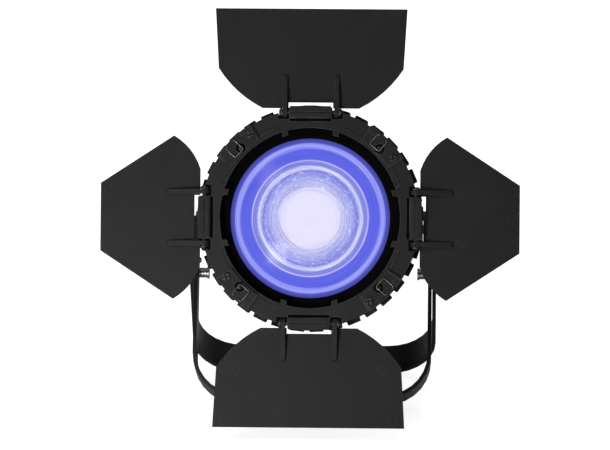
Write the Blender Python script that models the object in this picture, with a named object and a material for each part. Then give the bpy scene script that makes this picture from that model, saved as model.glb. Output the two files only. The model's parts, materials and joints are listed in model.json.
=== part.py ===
"""Compact fresnel spotlight with four-leaf barn doors, standing on a spread double yoke.

Metres, +Z up. Light leaves towards -Y. The origin is on the floor, under the middle of the
bounding box. The head is modelled in its own frame: its optical axis is the local Y axis, its
tilt pivot is at y = 0, and the whole frame is tipped up about the pivot. Lengths below are
in millimetres and are multiplied by MM when a mesh is made.
"""

import math

import bmesh
import bpy
from mathutils import Matrix, Vector

MM = 0.001

# Stance: the two yokes' lean from upright, and how far the head is tipped up.
FRONT_LEAN = 29.0
HEAD_TIP = 16.5
PIVOT_BACK = 21.1  # the tilt pivot, behind the middle of the bounding box

# Yokes: flat steel strip bent to a U.
STRIP_WIDTH = 22.4
STRIP_THICK = 2.5
FRONT_YOKE_HALF = 75.75  # half the inside width
FRONT_YOKE_DROP = 116.7  # tilt pivot to the outside of the base
FRONT_CORNER = 29.5  # outside radius
REAR_YOKE_HALF = 78.6
REAR_YOKE_DROP = 89.3  # leg hinge to the outside of the base
REAR_CORNER = 32.5
LEG_HINGE_DROP = 30.7  # leg hinge below the tilt pivot, along the front yoke's arm
CLAMP_HOLE_R = 6.2
SIDE_HOLE_R = 3.2
SIDE_HOLE_X = 26.0

# Tilt and leg hardware, measured out from the middle of the fixture.
TILT_BOLT_R = 3.0
TILT_BOLT_FROM = 61.0
TILT_BOLT_TO = 92.0
BOSS_R = 13.0
BOSS_FROM = 60.5
BOSS_FACE = 72.0
WASHER_R = 12.0
KNOB_R = 13.2
KNOB_LOBES = 6
KNOB_LOBE_RISE = 1.3
KNOB_HUB_R = 8.0
KNOB_HUB_LONG = 6.0
KNOB_GRIP_FROM = 4.0  # beyond the hub's inner face
KNOB_GRIP_TO = 17.0
LEG_BOLT_R = 2.0
LEG_BOLT_HEAD_R = 4.4
LEG_BOLT_HEAD_TALL = 3.4
LEG_BOLT_FROM = 70.0
LEG_NUT_R = 3.4
LEG_NUT_HEAD_R = 4.1
LEG_NUT_FROM = 68.6
LEG_NUT_HEAD_TALL = 1.5
GAP = 0.3

# Facets round a turned piece: large ones that show, large ones inside, and small ones.
SHOWN = 64
LARGE = 48
MEDIUM = 24
SMALL = 12

# Optical axis, above the tilt pivot.
AXIS_RISE = 4.0

# Barn-door ring and its hinge stations.
RING_FRONT = -102.0
RING_BACK = -96.0
RING_INNER_R = 57.9
RING_OUTER_R = 70.4
KNUCKLE_FRONT = -103.6
KNUCKLE_HALF = 13.8
KNUCKLE_INNER_R = 64.0
KNUCKLE_OUTER_R = 72.3
NOTCH_OUT = 20.8
TAB_INNER_R = 55.0
TAB_FROM = 14.3
TAB_TO = 18.2
HINGE_R = 67.8
HINGE_Y = -100.0
PIN_R = 1.4
PIN_HEAD_R = 2.9
PIN_HEAD_AT = 18.2
PIN_HEAD_LONG = 2.2
BORE_SLACK = 0.3

# Clip stations, between the hinge stations.
CLIP_FRONT = -104.0
CLIP_INNER_R = 59.6
CLIP_OUTER_R = 71.2
CLIP_HALF_ANGLE = 12.0
STUD_AT_R = 62.9
STUD_HOLE_R = 3.2
STUD_R = 1.4
STUD_HEAD_R = 2.2
WIRE_R = 0.45
WIRE_AHEAD = 0.25
WIRE_HALF = 3.85
WIRE_FROM_R = 61.1
WIRE_TO_R = 69.4
WIRE_ANGLE = 2.9  # round from the stud
CLIP_SCREW_AT_R = 65.5
CLIP_SCREW_ANGLE = -9.3

# Leaves. Widths are half widths, and reaches are measured from the optical axis.
LEAF_THICK = 1.8
LEAF_BACK = 3.6  # behind the hinge pin
LEAF_INNER = 70.5
LEAF_NOTCH = 74.2
LEAF_OUTER = 134.5
LEAF_ROOT_HALF = 31.0
WIDE_SHOULDER = (59.4, 96.0)
WIDE_TIP_HALF = 61.6
SIDE_SHOULDER = (52.5, 87.6)
SIDE_TIP_HALF = 21.8
SHOULDER_BULGE = 2.6
FIN_FROM = 15.2
FIN_TO = 17.9
FIN_REACH = 24.0
EYE_R = 3.6

# Turning ring and its keeper.
TURNING_FRONT = RING_BACK + GAP
TURNING_BACK = -90.0
TURNING_R = 69.0
TURNING_INNER_R = 63.0
TURNING_LIP_R = 65.4
TURNING_LIP_LONG = 3.0
FOOT_HALF_ANGLE = 3.5
FOOT_TALL = 0.9
STUD_FRONT = -103.5
STUD_HEAD_BACK = -102.2
KEEPER_INNER_R = 60.3
KEEPER_OUTER_R = 64.6

# Front tube, zoom ring and lens.
TUBE_FRONT = -93.0
NOSE_R = 62.7
TUBE_INNER_R = 60.0
FLANGE_R = 69.0
FLANGE_FRONT = -89.6
FLANGE_BACK = -86.5
TUBE_BACK = -40.0
ZOOM_FRONT = -86.0
ZOOM_BACK = -58.0
LUGS = 36
LUG_ROOT_R = 70.3
LUG_TIP_R = 73.0
LUG_SHARE = 0.66
ZOOM_INNER_R = 66.5
SLEEVE_INNER_R = 63.2
SLEEVE_OUTER_R = 65.8
SLEEVE_BACK = -52.0
CARRIER_FRONT = -94.0
CARRIER_BACK = -76.0
CARRIER_R = 59.4
CARRIER_BORE_R = 56.0
LENS_OPEN_R = 51.3
LENS_R = 54.6
LENS_FRONT = CARRIER_FRONT + 2.8
LENS_THICK = 5.0
LENS_GROOVES = 3
CLAMP_RING_R = (50.5, 55.4)
CLAMP_RING_THICK = 2.7
CAM_PINS = 3
PIN_AT_Y = -80.0
CAM_PIN_R = 1.5
CAM_PIN_FROM = 58.0
CAM_PIN_TO = 65.2
CAM_SLOT_HALF = 1.9
CAM_SLOT_OVER = 2.6  # a cam slot's length beyond the pin's middle at each end
CAM_CUT_R = (60.5, 68.5)
CAM_TURN = 110.0
FOCUS_TRAVEL = 24.0

# Housing and rear.
SHELL_R = 66.0
SHELL_INNER_R = 63.3
SHELL_FRONT = -50.0
SHELL_BACK = 34.0
VENTS = 5
VENT_SPREAD = 64.0
VENT_HALF = 1.5
COVER_FRONT = SHELL_BACK + GAP
COVER_BACK = 73.0
COVER_WALL = 3.0
WALL_FRONT = COVER_BACK - COVER_WALL
EYE_AT_Y = 60.0
EYE_WIRE_R = 1.25
EYE_HALF = 5.0
EYE_STRAIGHT = 5.5  # straight part of the loop above the shell
PAD_HALF = 4.5

# Rear panel.
DISPLAY_Z = 24.0
DISPLAY_HALF = (18.0, 9.0)
BUTTON_X = (-21.0, -7.0, 7.0, 21.0)
BUTTON_Z = 2.0
BUTTON_R = 3.4
BUTTON_FLANGE = 1.2
BUTTON_PROUD = 2.0
REAR_SLOTS = 3
REAR_SLOT_Z = 40.0
REAR_SLOT_PITCH = 6.0
CONNECTOR_X = (-37.5, -12.5, 12.5, 37.5)
CONNECTOR_Z = -28.0
CONNECTOR_R = 10.2
CONNECTOR_FRONT = 62.0
CONNECTOR_FLANGE_R = 12.0
CONNECTOR_FLANGE = 2.0
CONNECTOR_NOSE = 4.5
SOCKET_DEPTH = 9.0
POWER_NOSE_R = 10.0
DATA_NOSE_R = 9.6
SOCKET_WALL = 2.0
PLUG_PIN_RING = 3.6
PLUG_PIN_ANGLES = (90, 210, 330)

# Light engine and fan.
REFLECTOR_FRONT = -36.0
REFLECTOR_BACK = -6.0
REFLECTOR_MOUTH_R = 38.0
REFLECTOR_NECK_R = 12.6
REFLECTOR_WALL = 2.0
LED_BOARD_HALF = 20.0
LED_BOARD_FRONT = -2.8
LED_BOARD_BACK = -1.2
LED_DOME_R = 11.0
LED_DOME_FRONT = -5.6
SINK_FRONT = -0.7
SINK_PLATE_BACK = 5.5
SINK_BACK = 40.0
SINK_R = 58.0
SINK_CORE_R = 14.0
SINK_FINS = 20
SINK_FIN_THICK = 1.8
DRIVER_HALF = (24.0, 5.0)
DRIVER_Z = -48.0
DRIVER_ENDS = (-38.0, -8.0)
CONTROL_BOARD_HALF = (34.0, 22.0)
CONTROL_BOARD_Z = 16.0
CONTROL_BOARD_ENDS = (60.0, 61.6)
FAN_HALF = 30.0
FAN_OPEN_R = 28.0
FAN_FRONT = 43.0
FAN_BACK = 53.0
FAN_HUB_R = 10.0
FAN_SPIDER_R = 9.0
FAN_BLADES = 7
BLADE_TIP_R = 26.8
BLADE_LAG = 26.0

# Finish: colour, roughness, metallic, each used by the pieces below.
FINISHES = {
    "black_paint": ((0.022, 0.022, 0.023), 0.50, 0.0),
    "black_moulding": ((0.026, 0.025, 0.024), 0.58, 0.0),
    "matte_black": ((0.006, 0.006, 0.007), 0.85, 0.0),
    "steel": ((0.55, 0.55, 0.57), 0.28, 1.0),
    "black_screw": ((0.045, 0.045, 0.048), 0.35, 0.8),
    "aluminium": ((0.62, 0.63, 0.65), 0.40, 1.0),
    "lens": ((0.55, 0.60, 0.95), 0.08, 0.0),
    "board": ((0.02, 0.10, 0.05), 0.55, 0.0),
    "rubber": ((0.02, 0.02, 0.02), 0.80, 0.0),
    "display": ((0.02, 0.03, 0.05), 0.12, 0.0),
}


def clear_scene():
    for obj in list(bpy.data.objects):
        bpy.data.objects.remove(obj, do_unlink=True)


def finish_named(name):
    """The Principled BSDF material of one finish, made the first time it is asked for."""
    if name in bpy.data.materials:
        return bpy.data.materials[name]
    colour, roughness, metallic = FINISHES[name]
    material = bpy.data.materials.new(name)
    material.use_nodes = True
    shader = material.node_tree.nodes["Principled BSDF"]
    shader.inputs["Base Color"].default_value = (*colour, 1.0)
    shader.inputs["Roughness"].default_value = roughness
    shader.inputs["Metallic"].default_value = metallic
    return material


def empty(name, parent=None, at=(0, 0, 0), turn=(0, 0, 0)):
    """A frame that pieces hang from, placed in millimetres and degrees."""
    obj = bpy.data.objects.new(name, None)
    bpy.context.scene.collection.objects.link(obj)
    obj.parent = parent
    obj.location = Vector(at) * MM
    obj.rotation_euler = [math.radians(angle) for angle in turn]
    return obj


def piece(name, bm, finish, parent, at=(0, 0, 0), turn=(0, 0, 0)):
    """The mesh, in millimetres, as a named object."""
    bmesh.ops.recalc_face_normals(bm, faces=bm.faces[:])
    bmesh.ops.scale(bm, vec=(MM, MM, MM), verts=bm.verts[:])
    mesh = bpy.data.meshes.new(name)
    bm.to_mesh(mesh)
    bm.free()
    mesh.materials.append(finish_named(finish))
    mesh.shade_smooth()
    mesh.set_sharp_from_angle(angle=math.radians(35))
    obj = bpy.data.objects.new(name, mesh)
    bpy.context.scene.collection.objects.link(obj)
    obj.parent = parent
    obj.location = Vector(at) * MM
    obj.rotation_euler = [math.radians(angle) for angle in turn]
    return obj


def combine(target, bm, operation, at=(0, 0, 0), turn=(0, 0, 0)):
    """Adds a Boolean with a hidden helper that shares the target's parent."""
    helper = piece(f"{target.name}.{operation.lower()}", bm, "matte_black", target.parent, at, turn)
    helper.hide_render = True
    helper.display_type = "WIRE"
    boolean = target.modifiers.new(operation.title(), "BOOLEAN")
    boolean.operation = operation
    boolean.object = helper


def join(target, bm, at=(0, 0, 0), turn=(0, 0, 0)):
    combine(target, bm, "UNION", at, turn)


def cut(target, bm, at=(0, 0, 0), turn=(0, 0, 0)):
    combine(target, bm, "DIFFERENCE", at, turn)


def polar(radius, angle):
    """Point at this angle in degrees from +X towards +Z."""
    return radius * math.cos(math.radians(angle)), radius * math.sin(math.radians(angle))


def arc(radius, start, end, steps, centre=(0, 0)):
    """Points along an arc in the (x, z) plane, both ends included."""
    points = []
    for i in range(steps + 1):
        x, z = polar(radius, start + (end - start) * i / steps)
        points.append((centre[0] + x, centre[1] + z))
    return points


def circle(radius, steps=48, centre=(0, 0)):
    return arc(radius, 0, 360, steps, centre)[:-1]


def rectangle(half_x, half_z, centre=(0, 0), corner=0.0):
    """Outline of a rectangle, with rounded corners where corner isn't 0."""
    if not corner:
        signs = ((1, 1), (-1, 1), (-1, -1), (1, -1))
        return [(centre[0] + sx * half_x, centre[1] + sz * half_z) for sx, sz in signs]
    points = []
    for k, (sx, sz) in enumerate(((1, 1), (-1, 1), (-1, -1), (1, -1))):
        middle = (centre[0] + sx * (half_x - corner), centre[1] + sz * (half_z - corner))
        points += arc(corner, 90 * k, 90 * k + 90, 4, middle)
    return points


def slab(loops, low, high, bm=None):
    """Solid from y = low to y = high over (x, z) loops: the outline first, then any holes."""
    bm = bm or bmesh.new()
    bottom = [[bm.verts.new((x, low, z)) for x, z in loop] for loop in loops]
    top = {v: bm.verts.new((v.co.x, high, v.co.z)) for loop in bottom for v in loop}
    if len(loops) == 1:
        faces = [bm.faces.new(bottom[0])]
    else:
        edges = [bm.edges.new((a, b)) for loop in bottom for a, b in zip(loop, loop[1:] + loop[:1])]
        filled = bmesh.ops.triangle_fill(bm, edges=edges, use_beauty=True)["geom"]
        faces = [item for item in filled if isinstance(item, bmesh.types.BMFace)]
    for face in faces:
        bm.faces.new([top[v] for v in reversed(face.verts)])
    for loop in bottom:
        for a, b in zip(loop, loop[1:] + loop[:1]):
            bm.faces.new((a, b, top[b], top[a]))
    return bm


def turned(profile, steps=48, bm=None):
    """Solid of revolution about Y. The closed profile's points are (radius, y)."""
    bm = bm or bmesh.new()
    rings = []
    for radius, y in profile:
        if radius == 0:
            rings.append([bm.verts.new((0, y, 0))] * steps)
            continue
        rings.append([bm.verts.new((x, y, z)) for x, z in circle(radius, steps)])
    for first, second in zip(rings, rings[1:] + rings[:1]):
        for i in range(steps):
            j = (i + 1) % steps
            corners = list(dict.fromkeys((first[i], first[j], second[j], second[i])))
            if len(corners) > 2:
                bm.faces.new(corners)
    return bm


def tube(inner, outer, low, high, steps=48):
    return turned([(inner, low), (outer, low), (outer, high), (inner, high)], steps)


def rod(radius, low, high, steps=16, bm=None):
    return turned([(0, low), (radius, low), (radius, high), (0, high)], steps, bm)


def moved(bm, at=(0, 0, 0), turn=(0, 0, 0)):
    """The mesh turned about X, Y and Z, in degrees, and then moved."""
    matrix = Matrix.Translation(at)
    for axis, angle in zip("ZYX", reversed(turn)):
        matrix = matrix @ Matrix.Rotation(math.radians(angle), 4, axis)
    bmesh.ops.transform(bm, matrix=matrix, verts=bm.verts[:])
    return bm


def yoke_mesh(half, drop, corner):
    """U of flat strip, arms down from the hinge at the origin, with round arm ends."""
    outer_x = half + STRIP_THICK
    end_z = STRIP_WIDTH / 2
    outline = [(outer_x, end_z)]
    outline += arc(corner, 0, -90, 7, (outer_x - corner, corner - drop))
    outline += arc(corner, -90, -180, 7, (corner - outer_x, corner - drop))
    outline += [(-outer_x, end_z), (-half, end_z)]
    inner = corner - STRIP_THICK
    outline += arc(inner, -180, -90, 7, (inner - half, corner - drop))
    outline += arc(inner, -90, 0, 7, (half - inner, corner - drop))
    outline += [(half, end_z)]
    bm = slab([outline], -STRIP_WIDTH / 2, STRIP_WIDTH / 2)
    ends = [
        edge
        for edge in bm.edges
        if all(abs(v.co.z - end_z) < 1e-4 for v in edge.verts)
        and abs(edge.verts[0].co.y - edge.verts[1].co.y) < 1e-4
    ]
    bmesh.ops.bevel(bm, geom=ends, offset=end_z - GAP, segments=3, profile=0.5, affect="EDGES")
    return bm


def base_holes(drop):
    """Cutters for the clamp hole and the two small holes in a yoke's base."""
    bm = bmesh.new()
    for x, radius in ((0, CLAMP_HOLE_R), (-SIDE_HOLE_X, SIDE_HOLE_R), (SIDE_HOLE_X, SIDE_HOLE_R)):
        shaft = rod(radius, -STRIP_THICK * 2, STRIP_THICK * 2, 16)
        moved(shaft, (x, 0, -drop), (90, 0, 0))
        copy_into(bm, shaft)
    return bm


def copy_into(bm, other):
    """Adds the other mesh to this one as it stands."""
    made = {v: bm.verts.new(v.co) for v in other.verts}
    for face in other.faces:
        bm.faces.new([made[v] for v in face.verts])
    other.free()


def cross_rod(radius, half_length, steps=16):
    """Rod along X through the origin."""
    return moved(rod(radius, -half_length, half_length, steps), (0, 0, 0), (0, 0, 90))


def make_yokes(front, rear):
    reach = REAR_YOKE_HALF + 3 * STRIP_THICK
    fixed = piece(
        "front_yoke",
        yoke_mesh(FRONT_YOKE_HALF, FRONT_YOKE_DROP, FRONT_CORNER),
        "black_paint",
        front,
    )
    cut(fixed, cross_rod(TILT_BOLT_R + GAP, reach))
    cut(fixed, cross_rod(LEG_BOLT_R + GAP, reach), (0, 0, -LEG_HINGE_DROP))
    cut(fixed, base_holes(FRONT_YOKE_DROP))
    leg = piece(
        "rear_yoke", yoke_mesh(REAR_YOKE_HALF, REAR_YOKE_DROP, REAR_CORNER), "black_paint", rear
    )
    cut(leg, cross_rod(LEG_BOLT_R + GAP, reach))
    cut(leg, base_holes(REAR_YOKE_DROP))


def lobed(radius, lobes, rise, steps=48):
    """Outline of a hand knob."""
    return [
        polar(radius + rise * math.cos(math.radians(lobes * 360 * i / steps)), 360 * i / steps)
        for i in range(steps)
    ]


def make_yoke_hardware(front, head):
    """Tilt bolts, knobs and washers, and the bolts and sleeve nuts of the leg hinge."""
    arm_in = FRONT_YOKE_HALF
    arm_out = REAR_YOKE_HALF + STRIP_THICK
    knob_in = FRONT_YOKE_HALF + STRIP_THICK + GAP
    for side, sign in (("left", -1), ("right", 1)):
        turn = (0, 0, -90 * sign)
        shaft = rod(TILT_BOLT_R, TILT_BOLT_FROM, TILT_BOLT_TO)
        piece(f"tilt_bolt_{side}", shaft, "steel", head, turn=turn)
        outline = lobed(KNOB_R, KNOB_LOBES, KNOB_LOBE_RISE)
        grip = slab([outline], knob_in + KNOB_GRIP_FROM, knob_in + KNOB_GRIP_TO)
        knob = piece(f"tilt_knob_{side}", grip, "black_moulding", head, turn=turn)
        join(knob, rod(KNOB_HUB_R, knob_in, knob_in + KNOB_HUB_LONG, MEDIUM), turn=turn)
        cut(knob, rod(TILT_BOLT_R + GAP, knob_in - 2, TILT_BOLT_TO + 3), turn=turn)
        washer = tube(TILT_BOLT_R + GAP, WASHER_R, BOSS_FACE + GAP, arm_in - GAP, MEDIUM)
        piece(f"friction_washer_{side}", washer, "rubber", head, turn=turn)
        top = arm_out + LEG_BOLT_HEAD_TALL
        bolt = [(0, LEG_BOLT_FROM), (LEG_BOLT_R, LEG_BOLT_FROM), (LEG_BOLT_R, arm_out + GAP)]
        bolt += [(LEG_BOLT_HEAD_R, arm_out + GAP), (LEG_BOLT_HEAD_R - 0.3, top - 1.2)]
        bolt += [(LEG_BOLT_HEAD_R - 2.0, top - 0.2), (0, top)]
        hinge = (0, 0, -LEG_HINGE_DROP)
        piece(f"leg_bolt_{side}", turned(bolt, SMALL), "black_screw", front, hinge, turn)
        hollow = LEG_BOLT_R + GAP
        floor = LEG_BOLT_FROM - GAP
        shoulder = LEG_NUT_FROM + LEG_NUT_HEAD_TALL
        nut = [(hollow, arm_in - GAP), (hollow, floor), (0, floor), (0, LEG_NUT_FROM)]
        nut += [(LEG_NUT_HEAD_R, LEG_NUT_FROM), (LEG_NUT_HEAD_R, shoulder)]
        nut += [(LEG_NUT_R, shoulder), (LEG_NUT_R, arm_in - GAP)]
        piece(f"leg_nut_{side}", turned(nut, SMALL), "steel", front, hinge, turn)


def ring_outline():
    """Outside of the barn-door ring: four knuckles, with notches for the leaves' eyes beside them."""
    ring_edge = math.degrees(math.asin(NOTCH_OUT / RING_OUTER_R))
    knuckle_edge = math.degrees(math.asin(KNUCKLE_HALF / KNUCKLE_OUTER_R))
    points = []
    for station in range(4):
        middle = 90 * station
        quarter = arc(RING_OUTER_R, middle - 45, middle - ring_edge, 5)[:-1]
        quarter += [sideways(middle, -NOTCH_OUT, math.sqrt(RING_OUTER_R**2 - NOTCH_OUT**2))]
        quarter += [sideways(middle, -NOTCH_OUT, KNUCKLE_INNER_R - 0.5)]
        quarter += [sideways(middle, -KNUCKLE_HALF, KNUCKLE_INNER_R - 0.5)]
        quarter += arc(KNUCKLE_OUTER_R, middle - knuckle_edge, middle + knuckle_edge, 5)
        quarter += [sideways(middle, KNUCKLE_HALF, KNUCKLE_INNER_R - 0.5)]
        quarter += [sideways(middle, NOTCH_OUT, KNUCKLE_INNER_R - 0.5)]
        quarter += [sideways(middle, NOTCH_OUT, math.sqrt(RING_OUTER_R**2 - NOTCH_OUT**2))]
        quarter += arc(RING_OUTER_R, middle + ring_edge, middle + 45, 5)[1:-1]
        points += quarter
    return points


def sideways(angle, across, out):
    """Point at this distance out along the angle and this far across it, anticlockwise."""
    along = polar(1, angle)
    return along[0] * out - along[1] * across, along[1] * out + along[0] * across


def ring_opening():
    """Inside of the barn-door ring: a circle with two tabs at each hinge station."""
    points = []
    for station in range(4):
        middle = 90 * station
        corners = [math.degrees(math.asin(t / RING_INNER_R)) for t in (TAB_FROM, TAB_TO)]
        points += arc(RING_INNER_R, middle - 45, middle - corners[1], 5)
        points += [sideways(middle, -TAB_TO, tab_reach(TAB_TO))]
        points += [sideways(middle, -TAB_FROM, tab_reach(TAB_FROM))]
        points += arc(RING_INNER_R, middle - corners[0], middle + corners[0], 4)
        points += [sideways(middle, TAB_FROM, tab_reach(TAB_FROM))]
        points += [sideways(middle, TAB_TO, tab_reach(TAB_TO))]
        points += arc(RING_INNER_R, middle + corners[1], middle + 45, 5)[:-1]
    return points


def tab_reach(across):
    return math.sqrt(TAB_INNER_R**2 - across**2)


def knuckle_slot(middle):
    """Slot between a knuckle and the ring's inner band."""
    half = KNUCKLE_HALF - 0.6
    return [
        sideways(middle, -half, KNUCKLE_INNER_R - 0.2),
        sideways(middle, -half, KNUCKLE_INNER_R - 2.0),
        sideways(middle, half, KNUCKLE_INNER_R - 2.0),
        sideways(middle, half, KNUCKLE_INNER_R - 0.2),
    ]


def sector(inner, outer, start, end, steps=6):
    """Outline of a piece of a ring."""
    return arc(outer, start, end, steps) + arc(inner, end, start, steps)


def make_barn_door_ring(axis):
    slots = [knuckle_slot(90 * station) for station in range(4)]
    ring = piece(
        "barn_door_ring",
        slab([ring_outline(), ring_opening(), *slots], RING_FRONT, RING_BACK),
        "black_moulding",
        axis,
    )
    raised = bmesh.new()
    for station in range(4):
        middle = 90 * station
        edge = math.degrees(math.asin(KNUCKLE_HALF / KNUCKLE_OUTER_R)) - 0.2
        outline = [sideways(middle, -KNUCKLE_HALF + 0.2, KNUCKLE_INNER_R + 0.2)]
        outline += arc(KNUCKLE_OUTER_R - 0.2, middle - edge, middle + edge, 5)
        outline += [sideways(middle, KNUCKLE_HALF - 0.2, KNUCKLE_INNER_R + 0.2)]
        slab([outline], KNUCKLE_FRONT, RING_FRONT + 1, raised)
        clip = sector(
            CLIP_INNER_R, CLIP_OUTER_R, middle + 45 - CLIP_HALF_ANGLE, middle + 45 + CLIP_HALF_ANGLE
        )
        slab([clip], CLIP_FRONT, RING_BACK - 1, raised)
    join(ring, raised)
    holes = bmesh.new()
    for station in range(4):
        stud = polar(STUD_AT_R, 90 * station + 45)
        slab([circle(STUD_HOLE_R, 12, stud)], CLIP_FRONT - 2, RING_BACK + 2, holes)
        screw = polar(CLIP_SCREW_AT_R, 90 * station + 45 + CLIP_SCREW_ANGLE)
        slab([circle(1.25 + GAP, 8, screw)], CLIP_FRONT - 2, RING_BACK + 2, holes)
    cut(ring, holes)
    bores = bmesh.new()
    for station in range(4):
        bore = cross_rod(PIN_R + BORE_SLACK, KNUCKLE_HALF + 3, 10)
        copy_into(bores, moved(moved(bore, (0, HINGE_Y, HINGE_R)), turn=(0, 90 * station, 0)))
    cut(ring, bores)
    return ring


def make_clips(axis):
    """At each clip station: the latch's spring wire, which swings on its two ends, and the screw."""
    for station, name in enumerate(("upper_right", "upper_left", "lower_left", "lower_right")):
        middle = 90 * station + 45
        frame = empty(f"clip_frame_{name}", axis, turn=(0, 90 - middle - WIRE_ANGLE, 0))
        wire_y = CLIP_FRONT - WIRE_AHEAD - WIRE_R
        length = WIRE_TO_R - WIRE_FROM_R
        path = [
            (-WIRE_HALF + 1.5, 0),
            (-WIRE_HALF + 0.4, 0),
            (-WIRE_HALF, -0.4),
            (-WIRE_HALF, 0.8 - length),
            (-WIRE_HALF + 0.8, -length),
            (WIRE_HALF - 0.8, -length),
            (WIRE_HALF, 0.8 - length),
            (WIRE_HALF, -0.4),
            (WIRE_HALF - 0.4, 0),
            (WIRE_HALF - 1.5, 0),
        ]
        wire = round_wire(f"clip_wire_{name}", [(x, 0, z) for x, z in path], WIRE_R, "steel")
        wire.parent = frame
        wire.location = Vector((0, wire_y, WIRE_TO_R)) * MM
        x, z = polar(CLIP_SCREW_AT_R, middle + CLIP_SCREW_ANGLE)
        screw = [
            (0, CLIP_FRONT - 2.0),
            (1.5, CLIP_FRONT - 1.9),
            (2.5, CLIP_FRONT - 1.2),
            (2.65, CLIP_FRONT - GAP),
            (1.25, CLIP_FRONT - GAP),
            (1.25, RING_BACK - 0.5),
            (0, RING_BACK - 0.5),
        ]
        piece(f"clip_screw_{name}", turned(screw, 10), "black_screw", axis, (x, 0, z))


def round_wire(name, points, radius, finish):
    """Bent round wire along straight runs, as a curve with filled ends."""
    curve = bpy.data.curves.new(name, "CURVE")
    curve.dimensions = "3D"
    spline = curve.splines.new("POLY")
    spline.points.add(len(points) - 1)
    for place, point in zip(spline.points, points):
        place.co = (*(Vector(point) * MM), 1)
    curve.bevel_depth = radius * MM
    curve.bevel_resolution = 2
    curve.use_fill_caps = True
    curve.materials.append(finish_named(finish))
    obj = bpy.data.objects.new(name, curve)
    bpy.context.scene.collection.objects.link(obj)
    return obj


def shoulder_curve(start, end, bulge, steps=6):
    """Points from start to end on a shallow arc that stands out by bulge to the left of the way."""
    a, b = Vector(start), Vector(end)
    out = Vector((a.y - b.y, b.x - a.x)).normalized()
    points = []
    for i in range(steps + 1):
        share = i / steps
        points.append(tuple(a.lerp(b, share) + out * bulge * 4 * share * (1 - share)))
    return points


def leaf_outline(shoulder, tip_half):
    """Half outline points (across, out from the hinge pin), mirrored to the whole leaf."""
    inner = LEAF_INNER - HINGE_R
    side = [(FIN_FROM - 0.9, LEAF_NOTCH - HINGE_R), (FIN_FROM - 0.9, inner)]
    root = (LEAF_ROOT_HALF, inner)
    corner = (shoulder[0], shoulder[1] - HINGE_R)
    side += shoulder_curve(root, corner, -SHOULDER_BULGE)
    side += [(tip_half, LEAF_OUTER - HINGE_R)]
    return side + [(-x, z) for x, z in reversed(side)]


def fin_mesh():
    """One fin with its eye, in the plane of the leaf's length and the beam, 0 to its thickness in x."""
    outline = [(EYE_R * math.cos(a), -EYE_R * math.sin(a)) for a in arc_angles(80, 262, 9)]
    outline += [(FIN_REACH - 0.5, LEAF_BACK - 0.5), (FIN_REACH, 0.9), (FIN_REACH - 0.9, 0.1)]
    bm = bmesh.new()
    width = FIN_TO - FIN_FROM
    near = [bm.verts.new((0, y, z)) for z, y in outline]
    far = [bm.verts.new((width, y, z)) for z, y in outline]
    bm.faces.new(near)
    bm.faces.new(list(reversed(far)))
    for i in range(len(outline)):
        j = (i + 1) % len(outline)
        bm.faces.new((near[i], near[j], far[j], far[i]))
    return bm


def arc_angles(start, end, steps):
    return [math.radians(start + (end - start) * i / steps) for i in range(steps + 1)]


def make_leaf(name, station, shoulder, tip_half):
    """A leaf with its two fins, the pin it turns on, and the pin's nut."""
    frame = empty(f"{name}_hinge", station, (0, HINGE_Y, HINGE_R))
    outline = leaf_outline(shoulder, tip_half)
    leaf = piece(name, slab([outline], LEAF_BACK - LEAF_THICK, LEAF_BACK), "black_moulding", frame)
    fins = bmesh.new()
    for start in (FIN_FROM, -FIN_TO):
        copy_into(fins, moved(fin_mesh(), (start, 0, 0)))
    join(leaf, fins)
    cut(leaf, cross_rod(PIN_R + BORE_SLACK, FIN_TO + 3, 12))
    head = PIN_HEAD_AT
    pin = [
        (0, -head - PIN_HEAD_LONG),
        (1.6, -head - PIN_HEAD_LONG + 0.2),
        (PIN_HEAD_R, -head - 0.9),
        (PIN_HEAD_R, -head),
        (PIN_R, -head),
        (PIN_R, head + 1.0),
        (0, head + 1.0),
    ]
    across = (0, 0, -90)
    piece(name.replace("leaf", "hinge_pin"), turned(pin, SMALL), "black_screw", frame, turn=across)
    hollow = PIN_R + BORE_SLACK
    nut = [
        (hollow, head),
        (PIN_HEAD_R, head),
        (PIN_HEAD_R, head + 0.9),
        (1.6, head + PIN_HEAD_LONG - 0.2),
        (0, head + PIN_HEAD_LONG),
        (0, head + 1.4),
        (hollow, head + 1.4),
    ]
    piece(name.replace("leaf", "hinge_nut"), turned(nut, SMALL), "black_screw", frame, turn=across)


def make_barn_doors(axis):
    make_barn_door_ring(axis)
    make_clips(axis)
    stations = (
        ("leaf_top", 0, WIDE_SHOULDER, WIDE_TIP_HALF),
        ("leaf_right", 90, SIDE_SHOULDER, SIDE_TIP_HALF),
        ("leaf_bottom", 180, WIDE_SHOULDER, WIDE_TIP_HALF),
        ("leaf_left", 270, SIDE_SHOULDER, SIDE_TIP_HALF),
    )
    for name, angle, shoulder, tip_half in stations:
        station = empty(f"{name}_station", axis, turn=(0, angle, 0))
        make_leaf(name, station, shoulder, tip_half)


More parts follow.
